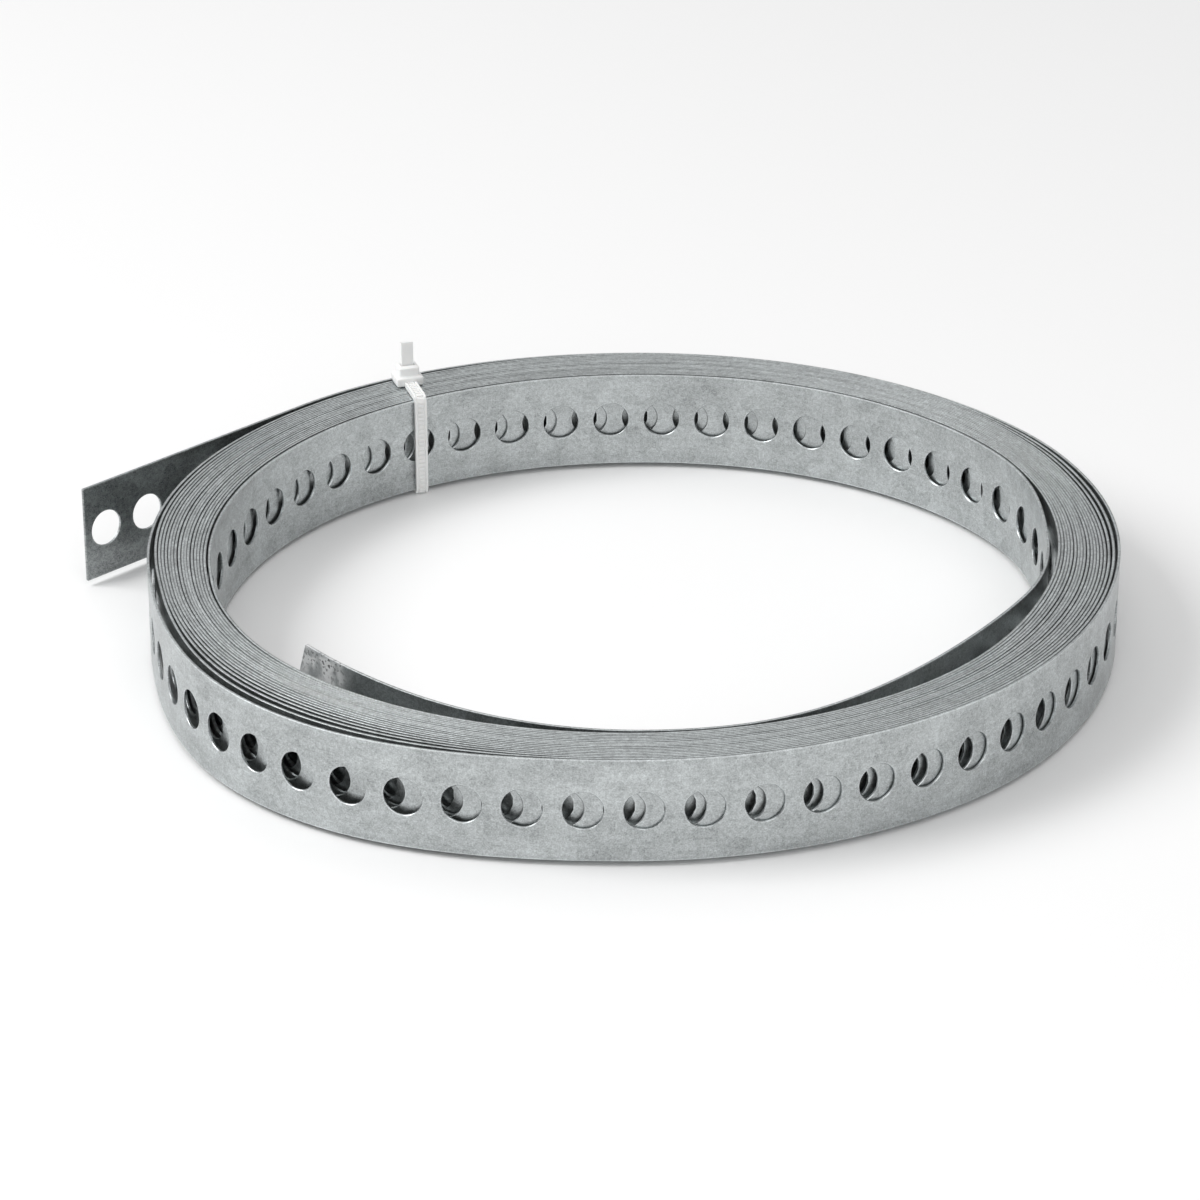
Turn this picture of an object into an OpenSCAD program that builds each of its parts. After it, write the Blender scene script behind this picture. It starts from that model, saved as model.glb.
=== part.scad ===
// Coil of perforated steel strap, held by one cable tie.
// The coil lies flat, its axis is Z, and the strap winds counter-clockwise from its inner end outwards.

/* [Strap] */
// Width of the strap
strap_w = 19; // [12:0.5:30]
// Thickness of the steel
strap_t = 0.5; // [0.4:0.05:0.8]
// Diameter of the punched holes
hole_d = 7; // [4:0.1:8]
// Distance from hole to hole along the strap
hole_pitch = 10.25; // [9:0.05:14]
// Distance from a cut end to the centre of the nearest hole
end_margin = 5.1; // [4.5:0.1:9]

/* [Coil] */
// Width of the eye inside the wound turns
eye_d = 154.6; // [130:0.2:220]
// By how much the coil is longer than it is wide
oval_l = 2.8; // [0.4:0.2:8]
// Number of wound turns
turns = 19; // [6:1:30]
// Air between one turn and the next
turn_gap = 0.12; // [0.1:0.01:0.2]
// Rounding of the strap's slit edges
edge_round = 0.1; // [0.05:0.01:0.12]
// Depth to which the gaps between the turns are open on the coil's ends
groove_depth = 0.5; // [0.3:0.1:2]
// Unevenness of the turns' edges on the coil's ends
stagger = 0.12; // [0.06:0.02:0.2]

/* [Outer end] */
// Length of the straight end that runs off the coil
tail_l = 56.5; // [40:0.5:90]
// Height to which that end stands off the coil
tail_lift = 1.2; // [0.4:0.2:3]
// Height to which the outermost turn springs off the coil
spring_h = 4.5; // [2:0.5:6]
// How much tighter than the coil the crown of that spring is bent
spring_bend = 20; // [16:1:30]

/* [Inner end] */
// How far the inner end leaves the coil in its first quarter turn
lift_h = 4.5; // [3:0.5:7]
// Length of the straight stretch that follows
flat_l = 13; // [8:1:16]
// How much tighter than the eye the last bend is
curl_bend = 12; // [10:1:16]
// Turn of the last bend
curl_turn = 105; // [60:1:110]

/* [Cable tie] */
// Direction in which the tie lies round the coil
tie_angle = 76; // [60:1:80]
// Width of the tie's band
tie_w = 2.5; // [2:0.1:4]
// Thickness of the tie's band
tie_t = 1; // [0.8:0.1:1.6]
// Clearance of the tie round the coil
tie_clear = 0.1; // [0.05:0.01:0.3]
// Length of the cut stub above the tie's head
stub_l = 5.4; // [2:0.1:20]
// Distance of the head's middle from the outer leg of the band
head_in = 5; // [4.5:0.1:7]
// Width of the tie's head, across the band
head_w = 4.8; // [4.6:0.1:8]
// Depth of the tie's head, along the band
head_d = 4.4; // [4:0.1:8]
// Height of the tie's head
head_h = 3.2; // [3:0.1:6]

/* [Hidden] */
$fn = 180;

// The coil's own sizes: it is two half rounds with a short straight between them. The outermost and the
// innermost turn are bent by themselves, and the turns between them are one body.
oval = oval_l / 2;
turn_pitch = strap_t + turn_gap;
eye_r = eye_d / 2;
coil_r = eye_r + turns * turn_pitch - turn_gap;
body_in = eye_r + turn_pitch;
body_turns = turns - 2;
body_out = coil_r - turn_pitch;
under_z = tie_t + tie_clear;
top_z = under_z + strap_w + stagger;
mid_z = under_z + strap_w / 2;

// How far a punch stands out of the steel that it cuts, into the air before the next turn
punch_over = turn_gap / 3;

// Holes that are left out on each side of the place where an end turn comes out of the body
root_free = 3;

// A path is a start [x, y, heading] and a list of stretches.
// A stretch is [0, length] where it is straight and [radius, turn] where it bends to the right.
function stretch_l(part) = part[0] == 0 ? part[1] : part[0] * part[1] * PI / 180;
function bend_centre(at, r) = [at.x + r * sin(at.z), at.y - r * cos(at.z)];
function bent(at, r, turn) =
    let (c = bend_centre(at, r), h = at.z - turn)
    [c.x - r * sin(h), c.y + r * cos(h), h];
function ahead(at, part, s) =
    part[0] == 0
        ? [at.x + s * cos(at.z), at.y + s * sin(at.z), at.z]
        : bent(at, part[0], s / part[0] * 180 / PI);
function place(at, path, s, i = 0) =
    i == len(path) - 1 || s <= stretch_l(path[i])
        ? ahead(at, path[i], s)
        : place(ahead(at, path[i], stretch_l(path[i])), path, s - stretch_l(path[i]), i + 1);
function path_l(path, i = 0) = i == len(path) ? 0 : stretch_l(path[i]) + path_l(path, i + 1);

// Line round the body at a radius from its half rounds, clockwise from its leftmost place, and how far
// along it another place on the left lies
function round_start(r) = [-oval - r, 0, 90];
function round_path(r) = [[r, 90], [0, oval_l], [r, 180], [0, oval_l], [r, 90]];
function round_s(r, at) =
    let (a = atan2(at.y, at.x + oval)) ((a < 0 ? -180 : 180) - a) * r * PI / 180;

// Outermost turn, from its free end: straight, half round the coil, off it in a wider quarter, and back
// in a tighter bend, the crown, until it is sunk into the body. All bends meet along X or Y.
outer_r = coil_r - strap_t / 2;
crown_r = outer_r - spring_bend;
crown_off = norm([spring_bend + spring_h, spring_h]);
sunk_r = body_out - strap_t;
crown_turn = ceil(atan(spring_h / (spring_bend + spring_h))
    + acos((sunk_r * sunk_r - crown_off * crown_off - crown_r * crown_r) / (2 * crown_off * crown_r)));
outer_start = [-tail_l, outer_r + tail_lift, 0];
outer_path = [
    [0, tail_l + oval],
    [outer_r + tail_lift / 2, 180],
    [0, oval_l],
    [outer_r + spring_h, 90],
    [crown_r, crown_turn]
];
outer_l = path_l(outer_path);
outer_root = place(outer_start, outer_path, outer_l);
outer_holes = floor((outer_l - end_margin) / hole_pitch) - root_free + 1;

// Innermost turn: out of the body in a wide bend, half round the eye, off the coil, and to its cut end
inner_r = eye_r + strap_t / 2;
join_bend = 55;
join_r = inner_r + join_bend;
raised_r = body_in + strap_t;
join_turn = ceil(acos((join_bend * join_bend + join_r * join_r - raised_r * raised_r)
    / (2 * join_bend * join_r)));
inner_start = [join_bend - oval - join_r * cos(join_turn), -join_r * sin(join_turn), 90 + join_turn];
inner_path = [
    [join_r, join_turn],
    [inner_r, 90],
    [0, oval_l],
    [inner_r, 90],
    [inner_r - lift_h, 90],
    [0, flat_l],
    [inner_r - curl_bend, curl_turn]
];
inner_l = path_l(inner_path);
inner_holes = floor((inner_l - end_margin) / hole_pitch) - root_free + 1;

// Cable tie: the band goes from its head over the top, down the outside, under the coil, up the eye and back
// to its head. Its cut stub stands up through the head.
tie_bend = 3 * tie_clear;
tie_bend_r = tie_bend + tie_t / 2;
tie_shift = oval * cos(tie_angle);
tie_out = coil_r + tail_lift + tie_shift + tie_clear + tie_t / 2;
tie_in = eye_r + tie_shift - tie_clear - tie_t / 2;
tie_low = tie_t / 2;
tie_high = top_z + tie_clear + tie_t / 2;
head_z = top_z + tie_clear;
head_mid = tie_out - head_in;
head_bevel = 0.6;
slot_clear = 0.25;
slot_t = tie_t + 2 * slot_clear;
slot_w = tie_w + 2 * slot_clear;
pawl_bite = 0.1;
cut_over = 1;
stub_top = head_z + head_h + stub_l;
tie_side = tie_high - tie_low - 2 * tie_bend_r;
tie_start = [head_mid - tie_t / 2, tie_high, 0];
tie_path = [
    [0, head_in + tie_t / 2 - tie_bend_r],
    [tie_bend_r, 90],
    [0, tie_side],
    [tie_bend_r, 90],
    [0, tie_out - tie_in - 2 * tie_bend_r],
    [tie_bend_r, 90],
    [0, tie_side],
    [tie_bend_r, 90],
    [0, head_mid - slot_t / 2 - tie_in - tie_bend_r]
];
stub_start = [head_mid, stub_top, -90];
stub_path = [[0, stub_top - head_z]];

// Flat strip of thickness t and width w, standing on edge along a path
module strip(at, path, t, w, i = 0) {
    if (i < len(path)) {
        stretch(at, path[i], t, w);
        strip(ahead(at, path[i], stretch_l(path[i])), path, t, w, i + 1);
    }
}

module stretch(at, part, t, w) {
    if (part[0] == 0)
        translate([at.x, at.y, 0]) rotate(at.z) translate([0, -t / 2, 0]) cube([part[1], t, w]);
    else
        translate(bend_centre(at, part[0]))
            rotate_extrude(angle = part[1], start = at.z + 90 - part[1])
                translate([part[0] - t / 2, 0]) square([t, w]);
}

// Punch across the strap at a place on its path, from depth_in on its right to depth_out on its left
module punch(at, depth_in, depth_out) {
    translate([at.x, at.y, mid_z]) rotate(at.z) rotate([-90, 0, 0])
        translate([0, 0, -depth_in]) cylinder(d = hole_d, h = depth_in + depth_out);
}

// Section of the body, with a groove between the edges of each turn and the next
module body_section() {
    rise = [for (i = [0 : body_turns - 1]) stagger * (1 + i % 2) / 2];
    left = [for (i = [0 : body_turns - 1]) body_in + i * turn_pitch];
    low = [for (i = [0 : body_turns - 1]) each [
        [left[i] + (i == 0 ? 0 : edge_round), rise[i], 0],
        [left[i] + strap_t - (i == body_turns - 1 ? 0 : edge_round), rise[i], 0],
        if (i < body_turns - 1) [left[i] + strap_t + turn_gap / 2, groove_depth, 1]
    ]];
    // The upper edge mirrors the grooves and keeps the rise of each turn
    high = [for (i = [len(low) - 1 : -1 : 0])
        [low[i].x, low[i].z == 1 ? strap_w - groove_depth : strap_w + low[i].y]];
    polygon(concat([for (p = low) [p.x, p.y]], high));
}

// Turns between the innermost and the outermost one: two half rounds and the two straights between them
module wound_body() {
    for (side = [-1, 1]) {
        translate([side * oval, 0, under_z])
            rotate_extrude(angle = 180, start = -90 * side) body_section();
        translate([-side * oval, 0, under_z]) rotate([90, 0, 90 * side])
            linear_extrude(oval_l) body_section();
    }
}

// Row of holes all round the body but for the root of a turn
module ring_of_punches(r, root, depth_in, depth_out) {
    all_round = path_l(round_path(r));
    for (i = [root_free : floor(all_round / hole_pitch) - root_free]) {
        s = (round_s(r, root) + i * hole_pitch + all_round) % all_round;
        punch(place(round_start(r), round_path(r), s), depth_in, depth_out);
    }
}

// Row of holes along a path, the first at s from its start
module row_of_punches(at, path, count, s, step) {
    depth = strap_t / 2 + punch_over;
    for (i = [0 : count - 1]) punch(place(at, path, s + i * step), depth, depth);
}

module strap() {
    color("#a3a7ab")
        difference() {
            union() {
                wound_body();
                translate([0, 0, under_z]) {
                    strip(outer_start, outer_path, strap_t, strap_w);
                    strip(inner_start, inner_path, strap_t, strap_w);
                }
            }
            row_of_punches(outer_start, outer_path, outer_holes, end_margin, hole_pitch);
            row_of_punches(inner_start, inner_path, inner_holes, inner_l - end_margin, -hole_pitch);
            ring_of_punches(body_out, outer_root, strap_t, punch_over);
            ring_of_punches(body_in, inner_start, punch_over, strap_t);
        }
}

// Side of the tie's head, with its edges bevelled
module head_side() {
    b = head_bevel;
    polygon([[b, 0], [head_d - b, 0], [head_d, b], [head_d, head_h - b], [head_d - b, head_h],
        [b, head_h], [0, head_h - b], [0, b]]);
}

// Head with the slot that the band is drawn through
module tie_head() {
    difference() {
        translate([head_mid - head_d / 2, head_w / 2, head_z]) rotate([90, 0, 0])
            linear_extrude(head_w) head_side();
        translate([head_mid - slot_t / 2, -slot_w / 2, head_z - cut_over])
            cube([slot_t, slot_w, head_h + 2 * cut_over]);
    }
}

// Pawl that holds the band in the slot
module tie_pawl() {
    pawl_h = head_h / 3;
    translate([head_mid - slot_t / 2 - pawl_bite, -tie_w / 2, head_z + head_h / 2])
        cube([slot_clear + 2 * pawl_bite, tie_w, pawl_h]);
}

module cable_tie() {
    color("#e9e7e0")
        rotate(tie_angle)
            union() {
                rotate([90, 0, 0]) translate([0, 0, -tie_w / 2]) {
                    strip(tie_start, tie_path, tie_t, tie_w);
                    strip(stub_start, stub_path, tie_t, tie_w);
                }
                tie_head();
                tie_pawl();
            }
}

strap();
cable_tie();
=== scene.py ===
"""A coil of galvanised perforated strap with its nylon cable tie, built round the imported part."""

from math import cos, hypot, pi, radians, sin, tau

import bpy
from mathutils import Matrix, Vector


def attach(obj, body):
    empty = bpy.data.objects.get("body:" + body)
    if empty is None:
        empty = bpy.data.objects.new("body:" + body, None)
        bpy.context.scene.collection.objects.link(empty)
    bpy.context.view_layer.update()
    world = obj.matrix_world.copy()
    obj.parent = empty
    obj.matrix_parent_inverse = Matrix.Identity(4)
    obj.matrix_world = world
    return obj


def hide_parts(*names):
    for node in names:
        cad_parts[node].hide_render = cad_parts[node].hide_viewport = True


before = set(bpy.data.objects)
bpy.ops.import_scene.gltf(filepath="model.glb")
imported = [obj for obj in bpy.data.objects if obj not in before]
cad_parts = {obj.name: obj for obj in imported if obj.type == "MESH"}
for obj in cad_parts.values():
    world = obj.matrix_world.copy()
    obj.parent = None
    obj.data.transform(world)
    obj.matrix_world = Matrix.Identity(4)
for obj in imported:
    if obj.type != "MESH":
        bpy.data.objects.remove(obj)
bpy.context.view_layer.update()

MM = 0.001

# How near points are merged, how near a place counts as the same, and how square a face has to stand
merge_near = 0.004 * MM
hair = 0.01 * MM
facing = 0.99

# Strap: its section, its holes, the height of its middle, the columns of faces from hole to hole, the sides
# of a hole that shows and of one that is hidden, and the angle up to which it is shaded smooth
strap_w = 19 * MM
strap_t = 0.49 * MM
hole_r = 3.5 * MM
hole_pitch = 10.25 * MM
rim_round = 0.11 * MM
strap_mid = 10.6 * MM
cell_columns = 5
fine_hole = 40
plain_hole = 14
strap_smooth = 35

# Rows of holes from the outer end inwards: how many, their pitch and how many sides a hole has. The pitch
# drifts a little along the strap. The turns inside the coil, where no hole shows, have the plain ones.
# Behind the last row the strap is cut on a slant, a share of its width.
hole_rows = [
    (6, hole_pitch, fine_hole), (17, 10.377 * MM, fine_hole), (97, hole_pitch, fine_hole),
    (744, 10.2362 * MM, plain_hole), (54, 10.188 * MM, fine_hole), (30, 10.152 * MM, fine_hole),
    (21, 10.118 * MM, fine_hole),
]
end_slant = 0.36

# Straight outer end: its length, where it lies, over how many degrees it eases into the coil, and the places
# that the path has on it
tail_l = 56.5 * MM
tail_y = 89.91 * MM
tail_ease = 45
tail_places = 60

# The coil is a little oval, round a middle of its own. Each row gives how far round it is, in degrees from
# the place where the straight end leaves and clockwise, the radius of the outermost wound turn and the step
# from turn to turn, both in millimetres.
coil_middle = (-0.46 * MM, -0.82 * MM)
wound_turns = 19
coil_shape = [
    (0, 89.84, 0.625), (36, 89.84, 0.626), (52, 89.99, 0.61), (68, 90.31, 0.58), (86, 90.34, 0.556),
    (106, 89.94, 0.548), (118, 89.04, 0.556), (133, 88.04, 0.588), (146, 87.39, 0.615), (160, 87.24, 0.64),
    (181, 87.29, 0.61), (196, 87.14, 0.59), (220, 87.39, 0.568), (242, 88.39, 0.578), (261, 89.59, 0.588),
    (280, 90.29, 0.59), (296, 89.89, 0.60), (307, 89.29, 0.615), (326, 88.99, 0.63), (346, 89.09, 0.63),
]

# Where the outer turns stand off: middle and half width in degrees, height, and what is left a turn further in
spring = (267, 39, 3.8 * MM, 0.66)
right_slack = (126, 44, 0.8 * MM, 0.5)
left_slack = (330, 34, 0.5 * MM, 0.6)

# Unevenness of the turns: its height, and waves with their share of it, how often they come and their start
waviness = 0.006 * MM
waves = [(1, 1.31, 0), (0.6, 2.17, 40)]

# Where the turns inside are pushed in: middle and half width in degrees, how far, and in how many turns it grows
pushed_in = [(300, 29, 1.0 * MM, 1), (118, 34, 0.9 * MM, 3)]

# The turns bunch: how strongly, over how many turns, and where the first bunch lies
bunches = [(0.33, 3.7, 1.0), (0.30, 5.3, 0.0)]

# Places that a turn of the path has, and the least room between two turns
turn_places = 480
turn_clear = 0.006 * MM

# Loose inner end: it loosens, leaves the coil, bows into the eye, touches the coil again and curls off to its
# cut end. A bow has its middle and half width in degrees past where the end leaves, and its height.
inner_loosens = 17 * 360 + 250
loosens_over = 60
inner_gap = 0.32 * MM
inner_leaves = 18 * 360 + 111
inner_end = 18 * 360 + 279.2
bows = [(22, 22, 1.3 * MM), (65, 40, 4.6 * MM)]
curl_from = 106
curl_h = 6.5 * MM
curl_power = 2.6

# Cable tie. Its loop stands in an upright plane: where the plane faces and how far it passes the coil's axis.
# Then the band with its rails and ribs, the loop's corners and its sides, as distances along the plane and
# heights, and the head with its foot, its cap and its slot.
tie_facing = 60.8
tie_aside = 21.33 * MM
tie_w = 2.4 * MM
tie_t = 0.66 * MM
rail_w = 0.42 * MM
rib_h = 0.28 * MM
rib_pitch = 0.9 * MM
rib_inset = 0.2 * MM
tie_corner = 0.8 * MM
corner_steps = 8
tie_step = 0.15 * MM
tie_smooth = 40
tie_inner = 73.66 * MM
tie_outer = 87.98 * MM
tie_low = 0.63 * MM
tie_high = 20.62 * MM
stub_top = 28.88 * MM
head_at = 83.4 * MM
head_low = 20.3 * MM
head_foot = (5.0 * MM, 1.8 * MM, 5.5 * MM)
head_cap_in = 0.7 * MM
head_cap_h = 1.9 * MM
head_round = 0.6 * MM
slot_room = 0.4 * MM

# Zinc: its colour, its roughness, and its marks, each with its scale per metre, its detail and its roughness
zinc = (0.465, 0.489, 0.492)
zinc_rough = 0.38
spangle_scale = 420.0
grain_marks = (1300.0, 4.0, 0.65)
fine_marks = (3600.0, 2.0, 0.5)
cloud_marks = (90.0, 3.0, 0.6)
streak_marks = (700.0, 2.0, 0.5)
tick_marks = (1100.0, 2.0, 0.5)

# How far the streaks are drawn out along the strap and the ticks of its slit edges across it
streak_stretch = (0.05, 1, 1)
tick_stretch = (1, 0.02, 1)

# What each mark gives to the tone, and what tone, the edges (painted highlight, with slitting ticks), the rims
# (wear and painted highlight) and the straight end (painted shade) give to the brightness
spangle_tone, grain_tone, fine_tone, cloud_tone, streak_tone = 0.10, 0.6, 0.6, 0.35, 0.16
tone_gain, edge_highlight_gain, tick_gain, rim_wear_and_highlight_gain, tail_painted_shade = 1.8, 0.42, 0.8, 0.2, 0.33
tone_rough, edge_rough = 0.3, 0.06

# Where they lie: from and to, past the hole's rim, in from the slit edge and, for the painted shade of the
# straight end, past its length
rim_band = (0.05 * MM, 0.35 * MM)
edge_band = (0.3 * MM, 0.02 * MM)
tail_shade_band = (-6 * MM, 24 * MM)

# Worn inner end: from and to, before the last hole's end, what is worn at least, its marks and dark specks
worn_band = (9 * MM, 2 * MM)
worn_least = 0.4
worn_marks = (330.0, 4.0, 0.5)
worn_marks_band = (0.4, 0.6)
worn_colour = (0.74, 0.75, 0.75, 1)
worn_dull = 0.9
speck_marks = (1300.0, 2.0, 0.5)
speck_marks_band = (0.56, 0.62)
speck_band = (2 * MM, 9 * MM)
speck_colour = (0.06, 0.06, 0.065, 1)

# Relief of the zinc: how round the slit edges are, and strength and depth of the fine relief
edge_power = 2.5
edge_drop = -0.09
relief = (0.12, 0.05 * MM)
grain_relief, fine_relief, spangle_relief, cloud_relief = 0.5, 0.3, 0.3, 0.6

# Nylon: its two tones, their marks and what each gives, its roughness, how far light spreads in it, its relief
nylon_tones = ((0.93, 0.94, 0.93, 1), (0.99, 0.99, 0.98, 1))
nylon_cloud = (260.0, 3.0, 0.5)
nylon_fine = (2600.0, 2.0, 0.5)
nylon_cloud_tone, nylon_fine_tone = 0.9, 0.3
nylon_rough, nylon_tone_rough = 0.42, 0.2
nylon_glow = 0.2
nylon_spread = (0.3 * MM, 0.27 * MM, 0.25 * MM)
nylon_relief = (0.15, 0.03 * MM)

# Camera of the photograph: from which side it looks, how high it is, how far from what it aims at, how far
# that is aside of the coil's middle and above the floor, and its lens on its film, both in millimetres
camera_side = radians(46.2)
camera_rise = radians(25.503)
camera_far = 0.81168
aim_aside = 6.74 * MM
aim_high = 7.675 * MM
camera_lens, camera_film = 131.6, 36

# Light: the floor, the strength of the white surround, of what it has more behind the coil, how high that is
# and how it spreads. A lamp has its degrees left of the camera, its rise, its distance, its size and its watts.
floor_size = 8
floor_white = 0.97
floor_rough = 0.9
surround = 0.18
back_light = 0.76
back_rise = radians(72)
back_spread = (0.5, 0.97)
lamps = {"key": (84, 42, 1.6, 0.9, 15.5), "fill": (-12, 38, 1.6, 1.2, 8)}


def only(piece):
    """Leaves one piece selected and active."""
    bpy.ops.object.select_all(action="DESELECT")
    piece.select_set(True)
    bpy.context.view_layer.objects.active = piece


def edit(piece, mode):
    """Enters edit mode with nothing selected."""
    only(piece)
    bpy.ops.object.mode_set(mode="EDIT")
    bpy.ops.mesh.select_mode(type=mode)
    bpy.ops.mesh.select_all(action="DESELECT")


def leave_edit():
    bpy.ops.object.mode_set(mode="OBJECT")


def select_in(piece, mode, kind, wanted):
    """Selects those of a piece's elements that wanted accepts, and leaves it in edit mode."""
    edit(piece, mode)
    leave_edit()
    for element in getattr(piece.data, kind):
        element.select = wanted(element)
    bpy.ops.object.mode_set(mode="EDIT")


def select_points(piece, wanted):
    """Selects the points whose place wanted accepts, in edit mode."""
    select_in(piece, "VERT", "vertices", lambda point: wanted(point.co))


def select_edges(piece, wanted):
    """Selects the edges whose two ends wanted accepts, in edit mode."""
    def both_wanted(edge):
        return wanted(*(piece.data.vertices[i].co for i in edge.vertices))

    select_in(piece, "EDGE", "edges", both_wanted)


def select_faces(piece, wanted):
    """Selects the faces that wanted accepts, in edit mode."""
    select_in(piece, "FACE", "polygons", wanted)


def turn_outwards():
    """Turns all faces of the piece in edit mode outwards, and leaves edit mode."""
    bpy.ops.mesh.select_all(action="SELECT")
    bpy.ops.mesh.normals_make_consistent(inside=False)
    leave_edit()


def extrude(by):
    """Extrudes the selected faces, and leaves edit mode."""
    bpy.ops.mesh.extrude_region_move(TRANSFORM_OT_translate={"value": by})
    leave_edit()


def open_ends(cell, middle, pitch):
    """Takes the two ends off a cell of a pitch round a middle, so that a row of it is one strip."""
    select_faces(cell, lambda face: abs(face.normal.x) > facing and abs(face.center.x - middle) > pitch / 2 - hair)
    bpy.ops.mesh.delete(type="FACE")
    leave_edit()


def block(name, size, at):
    """A box of a size round a place, as the start of a piece."""
    bpy.ops.object.select_all(action="DESELECT")
    bpy.ops.mesh.primitive_cube_add(size=1, location=at)
    piece = bpy.context.object
    piece.name = name
    piece.scale = size
    bpy.ops.object.transform_apply(location=True, rotation=True, scale=True)
    return piece


def apply(piece, name, kind, **settings):
    """Adds a modifier and applies it."""
    only(piece)
    modifier = piece.modifiers.new(name, kind)
    for key, value in settings.items():
        setattr(modifier, key, value)
    bpy.ops.object.modifier_apply(modifier=name)


def row_of(cell, count, step):
    """Repeats a cell along X, joined to itself."""
    apply(cell, "Row", "ARRAY", count=count, use_relative_offset=False, use_constant_offset=True,
          constant_offset_displace=(step, 0, 0), use_merge_vertices=True, merge_threshold=merge_near)


def close(piece, sides):
    """Merges what lies together, closes the open ends, which have so many sides, and turns all faces outwards."""
    edit(piece, "VERT")
    bpy.ops.mesh.select_all(action="SELECT")
    bpy.ops.mesh.remove_doubles(threshold=merge_near)
    bpy.ops.mesh.fill_holes(sides=sides)
    turn_outwards()


def path_of(name, places):
    """A flat path through places, for a piece that is bent along it."""
    curve = bpy.data.curves.new(name, "CURVE")
    curve.dimensions = "3D"
    curve.twist_mode = "Z_UP"
    line = curve.splines.new("POLY")
    line.points.add(len(places) - 1)
    for point, (x, y) in zip(line.points, places):
        point.co = (x, y, 0, 1)
    guide = bpy.data.objects.new(name, curve)
    bpy.context.scene.collection.objects.link(guide)
    return guide


def wind(piece, places):
    """Bends a straight piece that lies along X round a path."""
    guide = path_of(piece.name + "_path", places)
    apply(piece, "Wind", "CURVE", object=guide, deform_axis="POS_X")
    bpy.data.objects.remove(guide)


def smooth(piece, angle):
    only(piece)
    bpy.ops.object.shade_smooth_by_angle(angle=radians(angle))


def lump(x, middle, half):
    """A smooth hump: 1 in the middle and 0 from half on."""
    return cos((x - middle) / half * pi / 2) ** 2 if abs(x - middle) < half else 0


def between(rows, x, column):
    """Value of a column of a closed table of shape at x degrees, on a smooth curve through its rows."""
    n = len(rows)
    i = max(k for k in range(n) if rows[k][0] <= x)
    near = [rows[(i + k) % n] for k in (-1, 0, 1, 2)]
    at = [row[0] + 360 * ((i + k) // n) for row, k in zip(near, (-1, 0, 1, 2))]
    value = [row[column] for row in near]
    if column == 1:
        value = [v + row[2] * row[0] / 360 for v, row in zip(value, near)]
    part = (x - at[1]) / (at[2] - at[1])
    slope = [(value[k + 1] - value[k - 1]) / (at[k + 1] - at[k - 1]) * (at[2] - at[1]) for k in (1, 2)]
    p2, p3 = part ** 2, part ** 3
    return ((2 * p3 - 3 * p2 + 1) * value[1] + (p3 - 2 * p2 + part) * slope[0]
            + (3 * p2 - 2 * p3) * value[2] + (p3 - p2) * slope[1])


def strap_radius(turn):
    """Distance of the strap's middle from the coil's middle after a turn in degrees, from outside inwards."""
    round_at, deep = turn % 360, turn / 360
    step = between(coil_shape, round_at, 2) * MM
    r = between(coil_shape, round_at, 1) * MM - step * deep
    for middle, half, height, kept in (spring, right_slack, left_slack):
        r += height * kept ** int(deep) * lump(round_at, middle, half)
    for middle, half, far, over in pushed_in:
        r -= far * lump(round_at, middle, half) * min(1, int(deep) / over) * (1 - int(deep) / wound_turns)
    for depth, period, begins in bunches:
        r += depth * (step - strap_t) * sin(tau * deep / period + begins) * min(1, deep)
    r += waviness * sum(part * sin(radians(turn * often + begins)) for part, often, begins in waves) * min(1, deep)
    start_r = between(coil_shape, 0, 1) * MM
    r += (tail_y - coil_middle[1] - start_r) * (lump(turn, 0, tail_ease) if turn < tail_ease else 0)
    r -= inner_gap * sin(min(1, max(0, turn - inner_loosens) / loosens_over) * pi / 2) ** 2
    if turn > inner_leaves:
        past = turn - inner_leaves
        r -= sum(height * lump(past, middle, half) for middle, half, height in bows)
        if past > curl_from:
            curled = (past - curl_from) / (inner_end - inner_leaves - curl_from)
            r -= curl_h * sin(curled * pi / 2) ** curl_power
    return r


def length_of(places):
    return sum(hypot(b[0] - a[0], b[1] - a[1]) for a, b in zip(places, places[1:]))


def strap_places():
    """Places along the middle of the strap, from its straight end to the end inside the coil."""
    straight_l = tail_l + coil_middle[0]
    straight = [(-tail_l + i * straight_l / tail_places, tail_y) for i in range(tail_places)]
    wound, radii = [], []
    for i in range(int(inner_end * turn_places / 360) + 1):
        turn = i * 360 / turn_places
        r, a = strap_radius(turn), radians(90 - turn)
        if i >= turn_places:
            r = min(r, radii[i - turn_places] - strap_t - turn_clear)
        radii.append(r)
        wound.append((coil_middle[0] + r * cos(a), coil_middle[1] + r * sin(a)))
    return straight + wound


def punched_cell(name, start, pitch, sides):
    """One hole and the strap round it, flat and open at both ends, with the rims of a fine hole rolled over."""
    middle = start + pitch / 2
    cell = block(name, (pitch, strap_w, strap_t), (middle, 0, 0))
    select_edges(cell, lambda a, b: abs(a.x - b.x) > pitch / 2)
    bpy.ops.mesh.subdivide(number_cuts=cell_columns - 1)
    leave_edit()
    bpy.ops.object.select_all(action="DESELECT")
    bpy.ops.mesh.primitive_cylinder_add(vertices=sides, radius=hole_r, depth=6 * strap_t,
                                        location=(middle, 0, 0))
    tool = bpy.context.object
    apply(cell, "Punch", "BOOLEAN", object=tool, operation="DIFFERENCE", solver="EXACT")
    bpy.data.objects.remove(tool)

    def on_rim(a, b):
        flat = abs(a.z - b.z) < strap_t / 4
        return flat and all(abs(hypot(p.x - middle, p.y) - hole_r) < 2 * hair for p in (a, b))

    if sides == fine_hole:
        select_edges(cell, on_rim)
        bpy.ops.mesh.bevel(offset=rim_round, segments=1)
        leave_edit()
    open_ends(cell, middle, pitch)
    return cell


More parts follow.
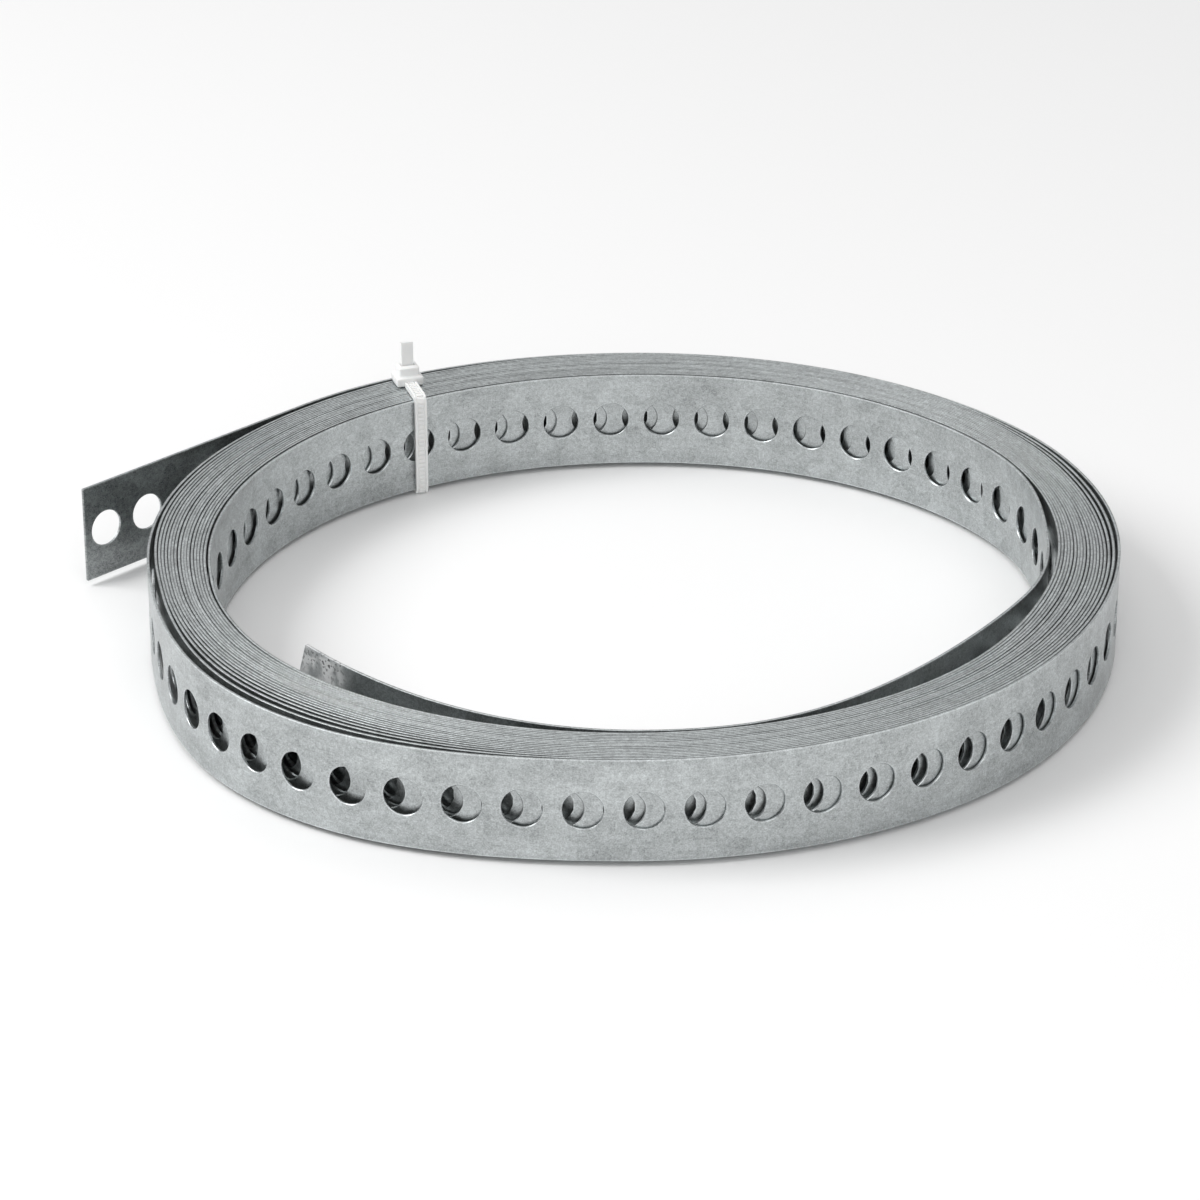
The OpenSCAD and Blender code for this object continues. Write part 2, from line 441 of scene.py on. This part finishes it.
def lay_along(strap, rows):
    """A map of the flat strap, in metres along it and across it, with every hole a pitch from the next.

    On the slit edges it goes on through the thickness.
    """
    lay = strap.data.uv_layers.active or strap.data.uv_layers.new()
    lay.name = "along_strap"
    points, corners = strap.data.vertices, strap.data.loops
    for face in strap.data.polygons:
        on_edge = round(face.normal.y)
        for corner in face.loop_indices:
            x, y, z = points[corners[corner].vertex_index].co
            start, holes, pitch = max(row for row in rows if row[0] <= max(x, 0))
            if abs(face.center.y) > strap_w / 2 - hair:
                y += on_edge * (z + strap_t / 2)
            lay.data[corner].uv = ((holes + (x - start) / pitch) * hole_pitch, y)


def cut_end(strap, end, longer):
    """Lengthens the strap's inner end to where it is cut, on a slant."""
    select_faces(strap, lambda face: face.normal.x > facing and abs(face.center.x - end) < hair)
    extrude((longer, 0, 0))
    select_points(strap, lambda place: place.x > end + longer / 2 and place.y < 0)
    bpy.ops.transform.translate(value=(end_slant * strap_w, 0, 0))
    leave_edit()


def make_strap():
    """The strap, punched flat row by row and then wound, and its length as its map counts it."""
    places = strap_places()
    cells, rows, start, holes = [], [], 0, 0
    for count, pitch, sides in hole_rows:
        cell = punched_cell("strap_row", start, pitch, sides)
        row_of(cell, count, pitch)
        cells.append(cell)
        rows.append((start, holes, pitch))
        start += count * pitch
        holes += count
    strap = cells[0]
    only(strap)
    for cell in cells[1:]:
        cell.select_set(True)
    bpy.ops.object.join()
    strap.name = "wound_strap"
    close(strap, 4)
    cut_end(strap, start, length_of(places) - start)
    lay_along(strap, rows)
    only(strap)
    strap.rotation_euler = (pi / 2, 0, 0)
    strap.location = (0, 0, strap_mid)
    bpy.ops.object.transform_apply(location=True, rotation=True, scale=True)
    wind(strap, places)
    smooth(strap, strap_smooth)
    return strap, holes * hole_pitch


def rounded(corners, radius):
    """Places along a line of corners with right angles, each corner an arc."""
    places = [corners[0]]
    for before, corner, after in zip(corners, corners[1:], corners[2:]):
        back = (Vector(before) - Vector(corner)).normalized() * radius
        on = (Vector(after) - Vector(corner)).normalized() * radius
        middle = Vector(corner) + back + on
        for i in range(corner_steps + 1):
            a = i / corner_steps * pi / 2
            places.append(tuple(middle - on * cos(a) - back * sin(a)))
    return places + [corners[-1]]


def spread(places, step):
    """The same line with places at an even step."""
    line = [places[0]]
    for a, b in zip(places, places[1:]):
        n = max(1, int(hypot(b[0] - a[0], b[1] - a[1]) / step))
        line += [(a[0] + (b[0] - a[0]) * i / n, a[1] + (b[1] - a[1]) * i / n) for i in range(1, n + 1)]
    return line


def stand_up(piece):
    """Turns a piece that was made lying flat, X outwards and Y upwards, to where the tie is round the coil."""
    a = radians(tie_facing)
    only(piece)
    piece.rotation_euler = (pi / 2, 0, a)
    piece.location = (-tie_aside * sin(a), tie_aside * cos(a), 0)
    bpy.ops.object.transform_apply(location=True, rotation=True, scale=True)


def make_tie_band():
    """The band, from its stub through the head, over the top, round the coil and back to the head."""
    corners = [(head_at, stub_top), (head_at, tie_high), (tie_outer, tie_high), (tie_outer, tie_low),
               (tie_inner, tie_low), (tie_inner, tie_high), (head_at, tie_high)]
    places = spread(rounded(corners, tie_corner), tie_step)
    cell = block("tie_band", (rib_pitch, tie_t, tie_w), (rib_pitch / 2, 0, 0))
    select_edges(cell, lambda a, b: abs(a.z - b.z) > tie_w / 2)
    bpy.ops.mesh.subdivide(number_cuts=2)
    leave_edit()
    select_points(cell, lambda place: abs(place.z) < tie_w / 3)
    bpy.ops.transform.resize(value=(1, 1, (tie_w - 2 * rail_w) / (tie_w / 3)))
    leave_edit()
    select_faces(cell, lambda face: face.normal.y > facing and abs(face.center.z) > tie_w / 4)
    extrude((0, rib_h, 0))
    select_faces(cell, lambda face: face.normal.y > facing and abs(face.center.z) < tie_w / 4)
    bpy.ops.mesh.inset(thickness=rib_inset)
    extrude((0, rib_h, 0))
    open_ends(cell, rib_pitch / 2, rib_pitch)
    row_of(cell, int(length_of(places) / rib_pitch), rib_pitch)
    close(cell, 12)
    wind(cell, places)
    return cell


def make_tie_head():
    """The head: a foot, a narrower cap and the slot that the stub stands in."""
    height = head_foot[1]
    slot_w, slot_t = tie_w + slot_room, tie_t + rib_h + slot_room
    head = block("tie_head", head_foot, (head_at, head_low + height / 2, 0))
    select_faces(head, lambda face: face.normal.y > facing)
    bpy.ops.mesh.inset(thickness=head_cap_in)
    extrude((0, head_cap_h, 0))
    apply(head, "Edges", "BEVEL", width=head_round, segments=3, limit_method="ANGLE")
    tool = block("slot", (slot_t, 4 * (height + head_cap_h), slot_w), (head_at + rib_h / 2, head_low, 0))
    apply(head, "Slot", "BOOLEAN", object=tool, operation="DIFFERENCE", solver="EXACT")
    bpy.data.objects.remove(tool)
    return head


def make_cable_tie():
    band, head = make_tie_band(), make_tie_head()
    only(band)
    head.select_set(True)
    bpy.ops.object.join()
    band.name = "nylon_tie"
    stand_up(band)
    edit(band, "VERT")
    turn_outwards()
    smooth(band, tie_smooth)
    return band


class Shade:
    """A value in a material's nodes, with arithmetic."""

    def __init__(self, tree, socket=None):
        self.tree, self.socket = tree, socket

    def node(self, kind, sockets=(), out=0, **settings):
        """Any node: its settings first, then its sockets' values or links."""
        made = self.tree.nodes.new(kind)
        for key, value in settings.items():
            setattr(made, key, value)
        for key, value in dict(sockets).items():
            if isinstance(value, Shade):
                self.tree.links.new(value.socket, made.inputs[key])
            else:
                made.inputs[key].default_value = value
        return Shade(self.tree, made.outputs[out])

    def math(self, operation, a, b=0.0):
        return self.node("ShaderNodeMath", {0: a, 1: b}, operation=operation)

    def __add__(self, other): return self.math("ADD", self, other)
    def __radd__(self, other): return self.math("ADD", other, self)
    def __sub__(self, other): return self.math("SUBTRACT", self, other)
    def __rsub__(self, other): return self.math("SUBTRACT", other, self)
    def __mul__(self, other): return self.math("MULTIPLY", self, other)
    def __rmul__(self, other): return self.math("MULTIPLY", other, self)
    def __truediv__(self, other): return self.math("DIVIDE", self, other)

    def noise(self, place, marks):
        """Marks at a place, with their scale per metre, their detail and their roughness."""
        scale, detail, roughness = marks
        return self.node("ShaderNodeTexNoise",
                         {"Vector": place, "Scale": scale, "Detail": detail, "Roughness": roughness})

    def bump(self, height, strength, distance, **under):
        """Normal of a relief, on top of another one if that is given as Normal."""
        return self.node("ShaderNodeBump", {"Strength": strength, "Distance": distance, "Height": height, **under})

    def ramp(self, low, high):
        """0 below low, 1 above high, smooth between."""
        return self.node("ShaderNodeMapRange", {0: self, 1: low, 2: high, 3: 0.0, 4: 1.0},
                         interpolation_type="SMOOTHSTEP")

    def mix(self, a, b):
        """Colour a where this is 0 and b where it is 1."""
        return self.node("ShaderNodeMix", {0: self, 6: a, 7: b}, out=2, data_type="RGBA", clamp_factor=True)


def new_finish(name):
    """A new material, its nodes as a place for values, and its surface."""
    finish = bpy.data.materials.new(name)
    finish.use_nodes = True
    tree = finish.node_tree
    return finish, Shade(tree), tree.nodes["Principled BSDF"]


def feed(shade, surface, name, value):
    """Links a value to a socket of a surface."""
    shade.tree.links.new(value.socket, surface.inputs[name])


def galvanised_steel(strap_l):
    """Mottled zinc, with painted shade on the straight end, painted highlights on the slit edges and on rims that
    are also worn, and worn white at the inner end.
    """
    finish, s, surface = new_finish("galvanised_strap")
    lay = s.node("ShaderNodeUVMap", uv_map="along_strap")
    along = s.node("ShaderNodeSeparateXYZ", {0: lay}, out=0)
    across = s.node("ShaderNodeSeparateXYZ", {0: lay}, out=1)
    stretched = s.node("ShaderNodeVectorMath", {0: lay, 1: streak_stretch}, operation="MULTIPLY")
    crossed = s.node("ShaderNodeVectorMath", {0: lay, 1: tick_stretch}, operation="MULTIPLY")

    spangle = s.node("ShaderNodeTexVoronoi", {"Vector": lay, "Scale": spangle_scale}, out=1, feature="F1")
    spangle = s.node("ShaderNodeSeparateColor", {0: spangle})
    grain, fine, cloud = (s.noise(lay, marks) for marks in (grain_marks, fine_marks, cloud_marks))
    streak = s.noise(stretched, streak_marks)
    tick = s.noise(crossed, tick_marks)
    tone = ((spangle - 0.5) * spangle_tone + (grain - 0.5) * grain_tone + (fine - 0.5) * fine_tone
            + (cloud - 0.5) * cloud_tone + (streak - 0.5) * streak_tone)

    from_hole = s.math("SUBTRACT", s.math("FRACT", along / hole_pitch), 0.5) * hole_pitch
    from_hole = s.math("SQRT", from_hole * from_hole + across * across)
    # Rim of each hole: a bright ring, partly worn zinc and partly painted highlight
    rim = 1 - (from_hole - hole_r).ramp(*rim_band)
    from_middle = s.math("ABSOLUTE", across)
    # Slit edges: painted highlight, brighter near the edge and on the cut faces; the ticks on it are real slitting
    # marks
    edge = from_middle.ramp(*(strap_w / 2 - inwards for inwards in edge_band))
    # Straight end: painted shade, full along it and fading out past its end into the coil
    tail_shade = 1 - along.ramp(*(tail_l + further for further in tail_shade_band))
    tip = along.ramp(*(strap_l - before for before in worn_band))
    tip = tip * (worn_least + s.noise(lay, worn_marks).ramp(*worn_marks_band) * (1 - worn_least))
    specks = s.noise(lay, speck_marks).ramp(*speck_marks_band) * across.ramp(*speck_band)

    # Brightness: random tone, painted highlight on slit edges with real slitting ticks, rims partly worn and
    # partly painted highlight, and painted shade on the straight end
    bright = (1 + tone * tone_gain + edge * (edge_highlight_gain + (tick - 0.5) * tick_gain) + rim * rim_wear_and_highlight_gain
              - tail_shade * tail_painted_shade)
    steel = s.node("ShaderNodeCombineColor", {i: bright * part for i, part in enumerate(zinc)})
    worn = tip.mix(steel, worn_colour)
    feed(s, surface, "Base Color", (tip * specks).mix(worn, speck_colour))
    feed(s, surface, "Roughness", zinc_rough + tone * tone_rough + edge * edge_rough)
    feed(s, surface, "Metallic", 1 - tip * worn_dull)

    through = s.math("MAXIMUM", from_middle - strap_w / 2, 0.0) / strap_t
    rounding = s.math("POWER", s.math("ABSOLUTE", through * 2 - 1), edge_power) * edge_drop
    height = grain * grain_relief + fine * fine_relief + spangle * spangle_relief + cloud * cloud_relief
    feed(s, surface, "Normal", s.bump(height, *relief, Normal=s.bump(rounding, 1.0, MM)))
    return finish


def milky_nylon():
    """Milky plastic that lets a little light in, uneven in tone and gloss."""
    finish, s, surface = new_finish("milky_nylon")
    place = s.node("ShaderNodeTexCoord", out=3)
    cloud, fine = s.noise(place, nylon_cloud), s.noise(place, nylon_fine)
    tone = (cloud - 0.5) * nylon_cloud_tone + (fine - 0.5) * nylon_fine_tone
    feed(s, surface, "Base Color", (0.5 + tone).mix(*nylon_tones))
    feed(s, surface, "Roughness", nylon_rough + tone * nylon_tone_rough)
    surface.inputs["Subsurface Weight"].default_value = nylon_glow
    surface.inputs["Subsurface Radius"].default_value = nylon_spread
    surface.inputs["Subsurface Scale"].default_value = 1.0
    feed(s, surface, "Normal", s.bump(fine, *nylon_relief))
    return finish


def dress(piece, finish, node):
    """Gives a piece its finish, hides the imported part that it stands for and hangs it under the root body."""
    piece.data.materials.clear()
    piece.data.materials.append(finish)
    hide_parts(node)
    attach(piece, "root")


def from_side(azimuth, rise):
    """Direction from the coil, an azimuth left of the camera and a rise above the floor."""
    a = azimuth + camera_side
    return Vector((-sin(a) * cos(rise), -cos(a) * cos(rise), sin(rise)))


def aim(name, data, place, back):
    """Puts a camera or lamp at a place, looking against the direction it stands back in."""
    holder = bpy.data.objects.new(name, data)
    holder.location = place
    holder.rotation_euler = (-back).to_track_quat("-Z", "Y").to_euler()
    bpy.context.scene.collection.objects.link(holder)
    return holder


def set_camera():
    x, y = coil_middle
    target = Vector((x - aim_aside * cos(camera_side), y + aim_aside * sin(camera_side), aim_high))
    back = from_side(0, camera_rise)
    lens = bpy.data.cameras.new("camera")
    lens.sensor_width, lens.lens = camera_film, camera_lens
    lens.clip_start, lens.clip_end = 0.01, 20
    bpy.context.scene.camera = aim("camera", lens, target + back * camera_far, back)


def set_lamp(name, azimuth, rise, far, size, watts):
    """A soft square lamp, placed by its direction from the coil as the camera sees it."""
    out = from_side(radians(azimuth), radians(rise))
    light = bpy.data.lights.new(name, "AREA")
    light.shape, light.size, light.energy = "SQUARE", size, watts
    aim(name, light, out * far, out)


def set_floor():
    """Pale floor that keeps a soft shadow."""
    bpy.ops.object.select_all(action="DESELECT")
    bpy.ops.mesh.primitive_plane_add(size=floor_size)
    floor = bpy.context.object
    floor.name = "floor"
    finish, _, surface = new_finish("pale_floor")
    surface.inputs["Base Color"].default_value = (floor_white, floor_white, floor_white, 1)
    surface.inputs["Roughness"].default_value = floor_rough
    floor.data.materials.append(finish)


def set_surround():
    """White surround that is brighter above and behind the coil."""
    world = bpy.data.worlds.new("surround")
    bpy.context.scene.world = world
    world.use_nodes = True
    s, ground = Shade(world.node_tree), world.node_tree.nodes["Background"]
    ground.inputs["Color"].default_value = (1, 1, 1, 1)
    towards = s.node("ShaderNodeVectorMath", {0: s.node("ShaderNodeTexCoord"), 1: from_side(pi, back_rise)}, out=1,
                     operation="DOT_PRODUCT")
    feed(s, ground, "Strength", surround + towards.ramp(*back_spread) * back_light)


strap, strap_l = make_strap()
cable_tie = make_cable_tie()
dress(strap, galvanised_steel(strap_l), "strap")
dress(cable_tie, milky_nylon(), "cable_tie")

set_camera()
set_floor()
set_surround()
for lamp_name, lamp_setting in lamps.items():
    set_lamp(lamp_name, *lamp_setting)

view = bpy.context.scene.view_settings
view.view_transform = "Standard"
